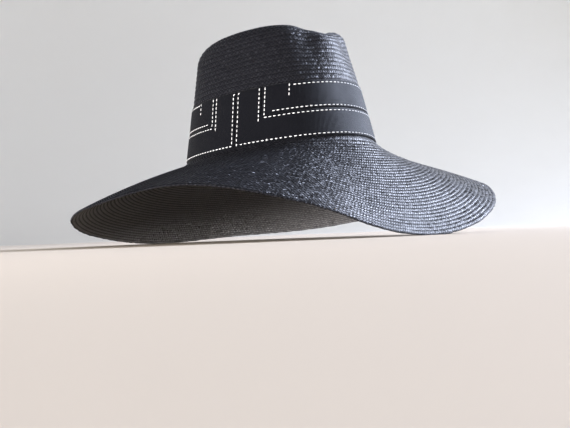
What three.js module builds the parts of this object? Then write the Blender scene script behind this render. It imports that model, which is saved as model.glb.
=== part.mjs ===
// A wide floppy sun hat: a crown and a drooping brim of black sewn straw braid,
// and two stacked grosgrain ribbons round the foot of the crown.
import * as THREE from 'three';

// Sizes in millimetres and angles in degrees.
// The hat is shaped in its own headline plane, z up and the front facing -Y, and is then tipped
// back a little, as it lies on a flat surface on the front and back of its brim.
// An angle round the hat is measured from the front and grows towards the wearer's left.

// Half sizes of the straw oval at the headline, and how far its front and back stand above its sides.
const HEAD = { long: 102.5, wide: 84, saddle: 2 };

const STRAW = { wall: 2 };
const GAP = 0.3;

// The brim's width along the straw, how far its middle bows above a straight line,
// and the depth and reach of the small curve that turns the crown's wall out into the brim.
const BRIM = { width: 129.5, bow: 3, rootDepth: 4.5, rootReach: 6.5, columns: 64 };

// Stations across the brim, as shares of its width.
const BRIM_STATIONS = [0, 0.03, 0.07, 0.13, 0.24, 0.42, 0.62, 0.82, 1];

// How steeply the brim drops below the headline plane round the hat.
const BRIM_DROOP = [
  { angle: -180, droop: 32 },
  { angle: -150, droop: 28.5 },
  { angle: -120, droop: 23 },
  { angle: -95, droop: 20.5 },
  { angle: -70, droop: 19.5 },
  { angle: -45, droop: 31.5 },
  { angle: -22, droop: 46.5 },
  { angle: 0, droop: 51 },
  { angle: 22, droop: 45 },
  { angle: 45, droop: 29.5 },
  { angle: 70, droop: 15 },
  { angle: 95, droop: 22.5 },
  { angle: 120, droop: 27 },
  { angle: 150, droop: 29 },
];

// The crown's form on either side of the front: the wall's lean inward for each millimetre up,
// the height of its rim, the radius of the shoulder there, and how far in from the shoulder
// the top has reached the floor of its dent.
const CROWN_FORM = [
  { angle: 0, lean: 0.21, rim: 106, shoulder: 9, reach: 50 },
  { angle: 12, lean: 0.205, rim: 107, shoulder: 9, reach: 45 },
  { angle: 28, lean: 0.193, rim: 110.5, shoulder: 9.5, reach: 36 },
  { angle: 42, lean: 0.186, rim: 114, shoulder: 11, reach: 31 },
  { angle: 60, lean: 0.187, rim: 116, shoulder: 13, reach: 29 },
  { angle: 90, lean: 0.192, rim: 117, shoulder: 17, reach: 30 },
  { angle: 135, lean: 0.168, rim: 117, shoulder: 20, reach: 38 },
  { angle: 180, lean: 0.17, rim: 115.5, shoulder: 20, reach: 46 },
];
const CROWN = { foot: 0.9, shoulderTurn: 96, shoulderLean: 0.11, columns: 60 };

// Heights on the wall, shares of the shoulder's turn, and shares of the way from shoulder to centre.
const WALL_STATIONS = [0, 0.3, 0.55, 0.78, 1];
const SHOULDER_STATIONS = [0.25, 0.5, 0.75, 1];
const TOP_STATIONS = [0.14, 0.28, 0.44, 0.62, 0.8];

// The dent along the top: the height of its floor at the middle, its rise towards the front,
// the bowl at its two ends, and the place of its centre.
const DENT = { floor: 87, frontRise: 0.1, bowl: 3, bowlLength: 60, centreY: -2 };

// Two hollows pressed into the upper wall, one on either side of the front.
const PINCH = { angle: 29, spread: 13, depth: 6, start: 60, rise: 48 };

// The two ribbons, with their width and top measured straight up from the headline. The lower one's
// ends turn up side by side at the wearer's right, as legs, and the upper one runs from leg to leg.
const RIBBON = {
  width: 27.4, top: 55, lift: 0.3, clearance: 0.35, columnStep: 6.5,
  legs: -78.4, slit: 0.4,
};
const RIBBON_THICKNESS = { lower: 1.4, upper: 1.1 };

// How far the hat tips back and to its side as it lies, and where the centre of its headline then is,
// measured from the middle of the space that it takes up.
const REST = { tip: 4.6, roll: 1.1, height: 84.95, centre: [0.9, -7.4] };

// Small steps with which a surface's slope and the distance along the wall are worked out.
const NORMAL = { angleStep: 0.5, stationStep: 0.004 };
const WALK_STEP = 0.25;

const STRAW_BLACK = { color: 0x15171c, roughness: 0.42, metalness: 0 };
const RIBBON_BLACK = { color: 0x1c1e25, roughness: 0.85, metalness: 0 };

const rad = THREE.MathUtils.degToRad;
const mix = THREE.MathUtils.lerp;
const smooth = (value) => THREE.MathUtils.smoothstep(value, 0, 1);

// A smooth reading of one column of a table, between its rows.
function readTable(rows, column, angle, rowAt) {
  let next = 1;
  while (rowAt(next).angle < angle) next += 1;
  const [before, from, to, after] = [next - 2, next - 1, next, next + 1].map(rowAt);
  const span = to.angle - from.angle;
  const slopeFrom = (to[column] - before[column]) / (to.angle - before.angle);
  const slopeTo = (after[column] - from[column]) / (after.angle - from.angle);
  const t = (angle - from.angle) / span;
  return from[column] * (1 + 2 * t) * (1 - t) ** 2 + slopeFrom * span * t * (1 - t) ** 2
    + to[column] * t * t * (3 - 2 * t) - slopeTo * span * t * t * (1 - t);
}

// A table that goes all the way round the hat.
function roundTable(rows, column, angle) {
  const turned = THREE.MathUtils.euclideanModulo(angle + 180, 360) - 180;
  const rowAt = (index) => {
    const turns = Math.floor(index / rows.length);
    const row = rows[index - turns * rows.length];
    return { ...row, angle: row.angle + 360 * turns };
  };
  return readTable(rows, column, turned, rowAt);
}

// A table for one side of the front, mirrored to the other side.
function mirroredTable(rows, column, angle) {
  const turned = Math.abs(THREE.MathUtils.euclideanModulo(angle + 180, 360) - 180);
  const last = rows.length - 1;
  const rowAt = (index) => {
    if (index < 0) return { ...rows[-index], angle: -rows[-index].angle };
    if (index > last) return { ...rows[2 * last - index], angle: 360 - rows[2 * last - index].angle };
    return rows[index];
  };
  return readTable(rows, column, turned, rowAt);
}

// A point of the headline oval whose outward direction has the given angle, moved outward.
function ovalPoint(angle, outward, z) {
  const [sin, cos] = [Math.sin(rad(angle)), Math.cos(rad(angle))];
  const norm = Math.hypot(HEAD.wide * sin, HEAD.long * cos);
  const x = (HEAD.wide ** 2 * sin) / norm + outward * sin;
  const y = -(HEAD.long ** 2 * cos) / norm - outward * cos;
  return new THREE.Vector3(x, y, z);
}

const headline = (angle) => HEAD.saddle * Math.cos(rad(2 * angle));

// The top surface of the brim, from the headline to the edge.
function brimPoint(angle, share) {
  const droop = rad(roundTable(BRIM_DROOP, 'droop', angle));
  const along = BRIM.width * share;
  const bow = 4 * BRIM.bow * share * (1 - share);
  const outward = along * Math.cos(droop) + bow * Math.sin(droop);
  const drop = along * Math.sin(droop) - bow * Math.cos(droop);
  const root = BRIM.rootDepth * (1 - share - Math.exp(-along / BRIM.rootReach));
  return ovalPoint(angle, outward, headline(angle) - drop - root);
}

// How far the crown's wall has leaned and been pressed inward at a height.
function wallInset(angle, height) {
  const lean = mirroredTable(CROWN_FORM, 'lean', angle) * height;
  const turned = THREE.MathUtils.euclideanModulo(angle + 180, 360) - 180;
  const pressed = [-PINCH.angle, PINCH.angle]
    .map((centre) => Math.exp(-(((turned - centre) / PINCH.spread) ** 2)))
    .reduce((sum, share) => sum + share, 0);
  return lean + PINCH.depth * pressed * smooth((height - PINCH.start) / PINCH.rise);
}

// The outside of the wall at a height, moved outward.
function wallPoint(angle, height, outward = 0) {
  return ovalPoint(angle, outward - wallInset(angle, height), height);
}

// The outside of the crown: its wall from 0 to 1, its shoulder to 2 and its dented top to 3.
function crownPoint(angle, station) {
  const rim = mirroredTable(CROWN_FORM, 'rim', angle);
  const shoulder = mirroredTable(CROWN_FORM, 'shoulder', angle);
  const wallTop = rim - shoulder;
  if (station <= 1) {
    return wallPoint(angle, mix(headline(angle) + CROWN.foot, wallTop, station));
  }
  if (station <= 2) {
    const turn = rad(CROWN.shoulderTurn * (station - 1));
    const rise = shoulder * Math.sin(turn);
    const inset = wallInset(angle, wallTop) + shoulder * (1 - Math.cos(turn)) + CROWN.shoulderLean * rise;
    return ovalPoint(angle, -inset, wallTop + rise);
  }
  const crest = crownPoint(angle, 2);
  const centre = new THREE.Vector3(0, DENT.centreY, crest.z);
  const radius = crest.distanceTo(centre);
  const point = crest.clone().lerp(centre, station - 2);
  const floor = DENT.floor - DENT.frontRise * point.y + DENT.bowl * (point.y / DENT.bowlLength) ** 2;
  const reach = mirroredTable(CROWN_FORM, 'reach', angle);
  point.z = mix(crest.z, floor, smooth(((station - 2) * radius) / reach));
  return point;
}

// A surface moved along the normal that its directions round the hat and along its stations make:
// outward on the crown, whose stations climb, and downward on the brim, whose stations go out.
function offsetPoint(surface, angle, station, distance) {
  const { angleStep, stationStep } = NORMAL;
  const along = surface(angle, station + stationStep).sub(surface(angle, station - stationStep));
  const across = surface(angle + angleStep, station).sub(surface(angle - angleStep, station));
  const normal = across.cross(along).normalize();
  return surface(angle, station).addScaledVector(normal, distance);
}

// A loop of points round the hat.
function loopOf(count, pointAt) {
  return Array.from({ length: count }, (_, index) => pointAt(-180 + (360 * index) / count));
}

function geometryOf(points, triangles) {
  const geometry = new THREE.BufferGeometry();
  const positions = new Float32Array(points.flatMap((point) => point.toArray()));
  geometry.setAttribute('position', new THREE.BufferAttribute(positions, 3));
  geometry.setIndex(triangles.flat());
  geometry.computeVertexNormals();
  return geometry;
}

// A body skinned over loops, each one joined to the next and the last to the first.
// A loop of one point is a pole, and two poles in a row are left apart.
function loopBody(loops) {
  const points = loops.flat();
  const starts = [];
  let total = 0;
  for (const loop of loops) {
    starts.push(total);
    total += loop.length;
  }
  const triangles = [];
  loops.forEach((loop, index) => {
    const nextIndex = (index + 1) % loops.length;
    const next = loops[nextIndex];
    const count = Math.max(loop.length, next.length);
    if (count === 1) return;
    const here = (column) => starts[index] + (loop.length === 1 ? 0 : column % count);
    const there = (column) => starts[nextIndex] + (next.length === 1 ? 0 : column % count);
    for (let column = 0; column < count; column += 1) {
      if (loop.length > 1) triangles.push([here(column), here(column + 1), there(column)]);
      if (next.length > 1) triangles.push([here(column + 1), there(column + 1), there(column)]);
    }
  });
  return geometryOf(points, triangles);
}

function brimGeometry() {
  const top = BRIM_STATIONS.map((share) => loopOf(BRIM.columns, (angle) => brimPoint(angle, share)));
  const under = BRIM_STATIONS.map((share) => loopOf(
    BRIM.columns,
    (angle) => offsetPoint(brimPoint, angle, share, STRAW.wall),
  ));
  return loopBody([...under, ...top.reverse()]);
}

function crownGeometry() {
  const stations = [
    ...WALL_STATIONS,
    ...SHOULDER_STATIONS.map((share) => 1 + share),
    ...TOP_STATIONS.map((share) => 2 + share),
  ];
  const outer = stations.map((station) => loopOf(CROWN.columns, (angle) => crownPoint(angle, station)));
  const inner = stations.map((station) => loopOf(
    CROWN.columns,
    (angle) => offsetPoint(crownPoint, angle, station, -STRAW.wall),
  ));
  const pole = crownPoint(0, 3);
  const innerPole = pole.clone().setZ(pole.z - STRAW.wall);
  return loopBody([[innerPole], ...inner.reverse(), ...outer, [pole]]);
}

// The angle that lies a distance along the wall from another angle.
function angleAlong(start, distance, height) {
  const step = WALK_STEP * Math.sign(distance);
  let angle = start;
  let travelled = 0;
  let from = wallPoint(angle, height);
  while (travelled < Math.abs(distance)) {
    angle += step;
    const to = wallPoint(angle, height);
    travelled += to.distanceTo(from);
    from = to;
  }
  return angle;
}

// The columns of a ribbon: the slit, the two legs and even steps round the rest of the hat.
function ribbonColumns() {
  const middle = RIBBON.top / 2;
  const slit = RIBBON.slit / 2;
  const [legStart, legEnd] = [slit, RIBBON.width]
    .map((distance) => angleAlong(RIBBON.legs, distance, middle) - RIBBON.legs);
  const upperStart = angleAlong(RIBBON.legs, RIBBON.width + GAP, middle) - RIBBON.legs;
  const steps = Math.round((360 - 2 * upperStart) / RIBBON.columnStep);
  const upperEnd = 360 - upperStart;
  const round = Array.from({ length: steps + 1 }, (_, index) => mix(upperStart, upperEnd, index / steps));
  const leg = [legStart, mix(legStart, legEnd, 1 / 3), mix(legStart, legEnd, 2 / 3), legEnd];
  const otherLeg = leg.map((turn) => 360 - turn).reverse();
  return { leg, round, otherLeg };
}

// A ribbon wrapped round the wall: a panel of cells between columns of angles and rows of heights,
// where `filled` says which cells are cloth.
function wrappedPanel(turns, heights, thickness, filled) {
  const points = [];
  const layer = (outward) => turns.map((turn) => heights.map((height) => {
    const angle = RIBBON.legs + turn;
    points.push(wallPoint(angle, headline(angle) + height, outward));
    return points.length - 1;
  }));
  const back = layer(RIBBON.clearance);
  const face = layer(RIBBON.clearance + thickness);
  const isCloth = (column, row) => column >= 0 && row >= 0 && column < turns.length - 1
    && row < heights.length - 1 && filled(turns[column], turns[column + 1], heights[row]);
  const triangles = [];
  const quad = (a, b, c, d) => triangles.push([a, b, c], [a, c, d]);
  for (let column = 0; column < turns.length - 1; column += 1) {
    for (let row = 0; row < heights.length - 1; row += 1) {
      if (!isCloth(column, row)) continue;
      const corners = [[column, row], [column + 1, row], [column + 1, row + 1], [column, row + 1]];
      const [f0, f1, f2, f3] = corners.map(([x, y]) => face[x][y]);
      const [b0, b1, b2, b3] = corners.map(([x, y]) => back[x][y]);
      quad(f0, f1, f2, f3);
      quad(b0, b3, b2, b1);
      if (!isCloth(column, row - 1)) quad(b0, b1, f1, f0);
      if (!isCloth(column + 1, row)) quad(b1, b2, f2, f1);
      if (!isCloth(column, row + 1)) quad(b2, b3, f3, f2);
      if (!isCloth(column - 1, row)) quad(b3, b0, f0, f3);
    }
  }
  return usedPointsOnly(points, triangles);
}

// Drops the points that no triangle uses.
function usedPointsOnly(points, triangles) {
  const places = new Map();
  const kept = [];
  const renumber = (index) => {
    if (!places.has(index)) {
      places.set(index, kept.length);
      kept.push(points[index]);
    }
    return places.get(index);
  };
  return geometryOf(kept, triangles.map((triangle) => triangle.map(renumber)));
}

// Round the foot of the crown, with a leg standing at each of its ends.
function lowerRibbonGeometry() {
  const { leg, round, otherLeg } = ribbonColumns();
  const legEnd = leg[leg.length - 1];
  const turns = [...leg, ...round, ...otherLeg];
  const middle = (RIBBON.lift + RIBBON.width) / 2;
  const heights = [RIBBON.lift, middle, RIBBON.width, (RIBBON.width + RIBBON.top) / 2, RIBBON.top];
  const filled = (from, to, height) => height < RIBBON.width || to <= legEnd || from >= otherLeg[0];
  return wrappedPanel(turns, heights, RIBBON_THICKNESS.lower, filled);
}

// Above the lower ribbon, from one leg round to the other.
function upperRibbonGeometry() {
  const bottom = RIBBON.width + GAP;
  const heights = [bottom, (bottom + RIBBON.top) / 2, RIBBON.top];
  return wrappedPanel(ribbonColumns().round, heights, RIBBON_THICKNESS.upper, () => true);
}

function pieceOf(name, geometry, look) {
  const mesh = new THREE.Mesh(geometry, new THREE.MeshStandardMaterial(look));
  mesh.name = name;
  return mesh;
}

const hat = new THREE.Group();
hat.add(
  pieceOf('crown', crownGeometry(), STRAW_BLACK),
  pieceOf('brim', brimGeometry(), STRAW_BLACK),
  pieceOf('lower_ribbon', lowerRibbonGeometry(), RIBBON_BLACK),
  pieceOf('upper_ribbon', upperRibbonGeometry(), RIBBON_BLACK),
);
hat.rotation.set(rad(-REST.tip), rad(REST.roll), 0);
hat.position.set(REST.centre[0], REST.centre[1], REST.height);

const sunHat = new THREE.Group();
sunHat.add(hat);

export default sunHat;
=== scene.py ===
# A wide floppy sun hat of black sewn straw braid, with two stitched grosgrain ribbons round its crown.
import math
from collections import namedtuple

import bpy
import numpy as np
from bpy.props import FloatProperty, FloatVectorProperty, PointerProperty
from mathutils import Matrix, Vector


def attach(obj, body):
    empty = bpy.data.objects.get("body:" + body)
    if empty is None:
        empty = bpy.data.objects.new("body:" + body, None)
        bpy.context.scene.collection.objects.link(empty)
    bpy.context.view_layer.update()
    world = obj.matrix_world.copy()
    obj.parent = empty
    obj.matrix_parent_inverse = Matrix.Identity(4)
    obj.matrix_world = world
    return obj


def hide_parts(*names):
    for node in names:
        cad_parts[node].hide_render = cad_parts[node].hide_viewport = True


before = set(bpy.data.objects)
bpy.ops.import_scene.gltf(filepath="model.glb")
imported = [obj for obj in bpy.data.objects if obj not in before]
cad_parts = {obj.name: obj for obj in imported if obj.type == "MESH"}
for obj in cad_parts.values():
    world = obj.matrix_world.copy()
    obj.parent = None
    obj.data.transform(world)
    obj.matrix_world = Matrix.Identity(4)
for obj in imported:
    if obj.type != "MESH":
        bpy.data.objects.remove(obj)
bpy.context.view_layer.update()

bl_info = {
    "name": "Floppy sun hat",
    "version": (1, 0, 0),
    "blender": (4, 5, 0),
    "location": "3D View > Sidebar > Sun hat",
    "description": "Braids the straw, wraps the ribbons and sews the stitches of a floppy sun hat",
    "category": "Object",
}

# The hat's own shape
# Sizes are in millimetres and angles in degrees, in the hat's headline plane: z up, front facing -Y.
# An angle round the hat is measured from the front and grows towards the wearer's left.

# half sizes of the straw oval at the headline, how far its front and back stand above its sides, and
# how thick the straw is
HEAD_LONG, HEAD_WIDE, HEAD_SADDLE = 102.5, 84.0, 2.0
WALL = 2.0

# the brim's width along the straw, how far its middle bows up, and the small curve at its root
BRIM_WIDTH, BRIM_BOW, BRIM_ROOT_DEPTH, BRIM_ROOT_REACH = 129.5, 3.0, 4.5, 6.5

# how steeply the brim drops below the headline plane round the hat
Droop = namedtuple("Droop", "angle droop")
BRIM_DROOP = [
    Droop(-180, 32), Droop(-150, 28.5), Droop(-120, 23), Droop(-95, 20.5), Droop(-70, 19.5),
    Droop(-45, 31.5), Droop(-22, 46.5), Droop(0, 51), Droop(22, 45), Droop(45, 29.5),
    Droop(70, 15), Droop(95, 22.5), Droop(120, 27), Droop(150, 29),
]

# the crown on either side of the front: the wall's lean inward, the height of its rim, the radius of
# the shoulder there, and how far in from the shoulder the top has reached the floor of its dent
CrownForm = namedtuple("CrownForm", "angle lean rim shoulder reach")
CROWN_FORM = [
    CrownForm(0, 0.21, 106, 9, 50),
    CrownForm(12, 0.205, 107, 9, 45),
    CrownForm(28, 0.193, 110.5, 9.5, 36),
    CrownForm(42, 0.186, 114, 11, 31),
    CrownForm(60, 0.187, 116, 13, 29),
    CrownForm(90, 0.192, 117, 17, 30),
    CrownForm(135, 0.168, 117, 20, 38),
    CrownForm(180, 0.17, 115.5, 20, 46),
]
SHOULDER_TURN, SHOULDER_LEAN = 96.0, 0.11
# the dent along the top, and the two hollows beside the front
DENT_FLOOR, DENT_FRONT_RISE, DENT_BOWL, DENT_BOWL_LENGTH, DENT_CENTRE = 87.0, 0.1, 3.0, 60.0, -2.0
PINCH_ANGLE, PINCH_SPREAD, PINCH_DEPTH, PINCH_START, PINCH_RISE = 29.0, 13.0, 6.0, 60.0, 48.0

# the two ribbons, whose widths and tops are measured up from the headline, and the fret's middle,
# where the lower one's ends turn up side by side as legs
RIBBON_WIDTH, RIBBON_TOP, RIBBON_LIFT, RIBBON_CLEARANCE = 27.4, 55.0, 0.3, 0.35
RIBBON_LEGS, RIBBON_SLIT, RIBBON_GAP = -78.4, 0.4, 0.3
LOWER_THICKNESS, UPPER_THICKNESS = 1.4, 1.1

# How the hat lies on the floor
REST_TIP, REST_ROLL, REST_CENTRE = 4.6, 1.1, (0.9, -7.4, 84.95)
FLOOR_CLEARANCE = 0.00002

# The braid's rows: where along a row's width each point of its profile stands, and how high
Rise = namedtuple("Rise", "share height")
OUTER_ROW = [Rise(0.0, -0.75), Rise(0.13, 0.0), Rise(0.5, 0.62), Rise(0.84, 1.0)]
INNER_ROW = [Rise(0.0, -0.7), Rise(0.2, 0.35), Rise(0.72, 0.8)]
BRIM_COLUMNS, CROWN_COLUMNS = 300, 240
LEVEL_ROWS = 13
# how far a row wanders, in rows, how far it lifts, and the share of the relief on the inner side
ROW_DRIFT, ROW_LIFT, INNER_RELIEF = 0.05, 0.06, 0.8
# the brim's edge: how far it reaches past the last row, how plump it is, and how uneven
EDGE_REACH, EDGE_PLUMP, EDGE_UNEVEN = 1.1, 1.15, 0.3
# where the crown's rows are worked out, as first and last station and their number: on the wall, on
# the shoulder, and on the top, which stops just short of the centre
CROWN_STATIONS = [(0, 1, 80), (1, 2, 60), (2, 2.985, 90)]
# how far above the ribbons the crown's braid still lies flat, the height over which its relief grows
# there, and the number of rows over which it fades at the centre
FLAT_ABOVE, FLAT_FADE, CENTRE_FADE = 0.4, 1.2, 1.5
# the button at the crown's centre: its share of the last row's size, and its crossings
HUB_SHARE, HUB_CROSSINGS = 0.02, 5
BRIM_DRIFT_SEED, BRIM_LIFT_SEED, CROWN_DRIFT_SEED, EDGE_SEED, STITCH_SEED = 100, 300, 500, 11, 7

# The white running stitches, as lines on the ribbons: start and end are distances along the wall
# from the middle of the fret, and low and high are distances up the wall from the headline.
# A round line runs right round the hat, from its start on one side of the fret to its end on the other.
# An upright line stands at its start, and a pair has one such line on each side of the fret.
StitchLine = namedtuple("StitchLine", "kind start end low high")
STITCH_LINES = [
    StitchLine("round", 6.6, 2.8, 2.7, 2.7),
    StitchLine("round", 30.6, 30.6, 25.0, 25.0),
    StitchLine("round", 38.0, 38.0, 30.3, 30.3),
    StitchLine("round", 57.0, 57.0, 53.2, 53.2),
    StitchLine("upright", 2.8, 2.8, 1.7, 54.3),
    StitchLine("upright", -2.8, -2.8, 4.6, 54.3),
    StitchLine("pair", 25.1, 25.1, 22.0, 54.6),
    StitchLine("pair", 30.6, 30.6, 27.0, 54.6),
    StitchLine("pair", 53.4, 53.4, 43.0, 54.8),
]
# how far the top stitch of an upright line turns aside
HOOK = 1.6
# the height that a millimetre up the leaning wall gains
UPRIGHT = 0.982
# how far from the middle of the fret the ribbons' legs keep their true width, and in how many points
# the ribbons' places are worked out round the wall, along the ribbons and up
LEG_REACH = 62.0
MAP_TURNS, MAP_ALONGS, MAP_HEIGHTS = 2881, 1441, 12
# a stitch's thickness off the cloth as a share of its width, the turns of its thread, how far it
# strays along its line, and the share by which its length varies
THREAD_FLATNESS, THREAD_TURNS, STITCH_WANDER, STITCH_STRETCH = 0.42, 2.2, 0.06, 0.03
# a stitch's rings: where each stands from end to end, its share of the width, and how high it lies
ThreadRing = namedtuple("ThreadRing", "place girth rise")
THREAD_RINGS = [
    ThreadRing(-1.0, 0.5, -0.5), ThreadRing(-0.88, 0.85, -0.16), ThreadRing(-0.5, 1.0, 0.02),
    ThreadRing(0.0, 1.0, 0.08), ThreadRing(0.5, 1.0, 0.02), ThreadRing(0.88, 0.85, -0.16),
    ThreadRing(1.0, 0.5, -0.5),
]
THREAD_MIDDLE, THREAD_SIDES = 3, 8

# The ribbon's cloth: how wide its soft edge is, and how thin it gets there
EDGE_SOFT, EDGE_THIN = 0.8, 0.4
# its slow waves: their height, length, sway and the sway's length, and how far from an edge they start
WAVE_HEIGHT, WAVE_LENGTH, WAVE_SWAY, SWAY_LENGTH, WAVE_START = 0.10, 9.0, 2.2, 17.0, 6
# the steps of its mesh: on the legs, along the rest, up the wall, and the two finest at an edge
LEG_STEP, ALONG_STEP, HEIGHT_STEP, FINE_STEP, SECOND_STEP = 2.2, 2.4, 3.2, 0.35, 0.9
# its ribs and yarns from one to the next, and the slope and end of the line on which it is folded up
RIB_STEP, YARN_STEP, FOLD_SLOPE, FOLD_END = 1.15, 0.42, 0.79, 57.0

# The plait: how far one reed dips under another, how rare a reed with a painted glint is, how far
# crossings lean, how much higher some stand, and what is left of their height in the seam. Then how
# rare a polished crossing is, and the width and height of the ridge along a row
REED_DIP, GLINT_RARITY, LEAN_REACH, CHANCE_HEIGHT, SEAM_HEIGHT = 0.45, 3.0, 3.6, 0.2, 0.2
POLISH_RARITY, RIDGE_WIDTH, RIDGE_HEIGHT = 1.5, 0.25, 0.35


# Reading the tables

def read_round(angles, values, at):
    """A smooth reading of a table that goes all the way round, at any angles."""
    turned = (np.asarray(at, float) + 180) % 360 - 180
    knots = np.concatenate([np.array(angles[-2:]) - 360, angles, np.array(angles[:2]) + 360])
    heights = np.concatenate([values[-2:], values, values[:2]])
    slopes = np.zeros_like(heights)
    slopes[1:-1] = (heights[2:] - heights[:-2]) / (knots[2:] - knots[:-2])
    to = np.clip(np.searchsorted(knots, turned, side="left"), 2, len(knots) - 2)
    start = to - 1
    span = knots[to] - knots[start]
    t = (turned - knots[start]) / span
    return (heights[start] * (1 + 2 * t) * (1 - t) ** 2 + slopes[start] * span * t * (1 - t) ** 2
            + heights[to] * t * t * (3 - 2 * t) - slopes[to] * span * t * t * (1 - t))


def droop_at(angle):
    return read_round([row.angle for row in BRIM_DROOP], [row.droop for row in BRIM_DROOP], angle)


def crown_at(column, angle):
    """A column of the crown's table, which is the same on both sides of the front."""
    left = [row._replace(angle=-row.angle) for row in reversed(CROWN_FORM[1:])]
    rows = left + CROWN_FORM[:-1]
    return read_round([row.angle for row in rows], [getattr(row, column) for row in rows], angle)


def smooth(value):
    t = np.clip(value, 0, 1)
    return t * t * (3 - 2 * t)


# Surfaces of the hat, as arrays of points

def oval_point(angle, outward, z):
    sin, cos = np.sin(np.radians(angle)), np.cos(np.radians(angle))
    norm = np.hypot(HEAD_WIDE * sin, HEAD_LONG * cos)
    x = HEAD_WIDE ** 2 * sin / norm + outward * sin
    y = -HEAD_LONG ** 2 * cos / norm - outward * cos
    return np.stack(np.broadcast_arrays(x, y, z), axis=-1)


def headline(angle):
    return HEAD_SADDLE * np.cos(np.radians(2 * np.asarray(angle, float)))


def brim_point(angle, share):
    """The top of the brim, from the headline at 0 to the edge at 1."""
    droop = np.radians(droop_at(angle))
    along = BRIM_WIDTH * share
    bow = 4 * BRIM_BOW * share * (1 - share)
    outward = along * np.cos(droop) + bow * np.sin(droop)
    drop = along * np.sin(droop) - bow * np.cos(droop)
    root = BRIM_ROOT_DEPTH * (1 - share - np.exp(-along / BRIM_ROOT_REACH))
    return oval_point(angle, outward, headline(angle) - drop - root)


def wall_inset(angle, height):
    lean = crown_at("lean", angle) * height
    turned = (np.asarray(angle, float) + 180) % 360 - 180
    pressed = sum(np.exp(-((turned - side) / PINCH_SPREAD) ** 2)
                  for side in (-PINCH_ANGLE, PINCH_ANGLE))
    return lean + PINCH_DEPTH * pressed * smooth((height - PINCH_START) / PINCH_RISE)


def wall_point(angle, height, outward=0.0):
    return oval_point(angle, outward - wall_inset(angle, height), height)


def crown_point(angle, station):
    """The outside of the crown: its wall from 0 to 1, its shoulder to 2 and its dented top to 3."""
    rim, shoulder = crown_at("rim", angle), crown_at("shoulder", angle)
    wall_top = rim - shoulder
    foot = headline(angle) - 0.4
    height = foot + (wall_top - foot) * np.clip(station, 0, 1)
    wall = wall_point(angle, height)
    turn = np.radians(SHOULDER_TURN * np.clip(station - 1, 0, 1))
    rise = shoulder * np.sin(turn)
    inset = wall_inset(angle, wall_top) + shoulder * (1 - np.cos(turn)) + SHOULDER_LEAN * rise
    bend = oval_point(angle, -inset, wall_top + rise)
    centre = np.stack(np.broadcast_arrays(0.0, DENT_CENTRE, bend[..., 2]), axis=-1)
    radius = np.linalg.norm(bend - centre, axis=-1)
    inwards = np.clip(station - 2, 0, 1)
    top = bend + (centre - bend) * inwards[..., None]
    bowl = DENT_BOWL * (top[..., 1] / DENT_BOWL_LENGTH) ** 2
    floor = DENT_FLOOR - DENT_FRONT_RISE * top[..., 1] + bowl
    sunk = smooth(inwards * radius / crown_at("reach", angle))
    top[..., 2] = bend[..., 2] + (floor - bend[..., 2]) * sunk
    return np.where((station <= 1)[..., None], wall, np.where((station <= 2)[..., None], bend, top))


def lay_down(points):
    """Points of the hat in its own frame, in millimetres, as it lies on the floor, in metres."""
    tip = Matrix.Rotation(math.radians(-REST_TIP), 3, "X")
    roll = Matrix.Rotation(math.radians(REST_ROLL), 3, "Y")
    return (np.asarray(points) @ np.array(tip @ roll).T + np.array(REST_CENTRE)) / 1000


def grid_normals(grid):
    """Normals of a grid of points, rows by columns, whose columns go all the way round."""
    along = np.gradient(grid, axis=0)
    across = np.roll(grid, -1, axis=1) - np.roll(grid, 1, axis=1)
    normal = np.cross(across, along)
    length = np.linalg.norm(normal, axis=-1, keepdims=True)
    return normal / np.maximum(length, 1e-9)


def gentle_noise(angle, seed, waves=(2, 3, 5, 8, 13)):
    """A smooth uneven wave round the hat, from about -1 to 1, that closes on itself."""
    chance = np.random.default_rng(seed)
    phases = chance.uniform(0, 2 * math.pi, len(waves))
    sizes = chance.uniform(0.4, 1.0, len(waves))
    total = sum(size * np.sin(wave * np.radians(angle) + phase)
                for wave, phase, size in zip(waves, phases, sizes))
    return total / sizes.sum()


# Meshes

def add_piece(name, points, faces, uvs, materials, face_materials=None):
    """A mesh object from arrays: a face lists its points, and each corner has its own uv pair."""
    mesh = bpy.data.meshes.new(name)
    mesh.from_pydata(points.tolist(), [], [list(face) for face in faces])
    layer = mesh.uv_layers.new(name="surface")
    layer.data.foreach_set("uv", np.asarray(uvs, dtype=np.float32).ravel())
    for material in materials:
        mesh.materials.append(material)
    if face_materials is not None:
        mesh.polygons.foreach_set("material_index", np.asarray(face_materials, dtype=np.int32))
    mesh.polygons.foreach_set("use_smooth", np.full(len(mesh.polygons), True))
    mesh.update()
    mesh.validate()
    piece = bpy.data.objects.new(name, mesh)
    bpy.context.scene.collection.objects.link(piece)
    return piece


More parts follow.
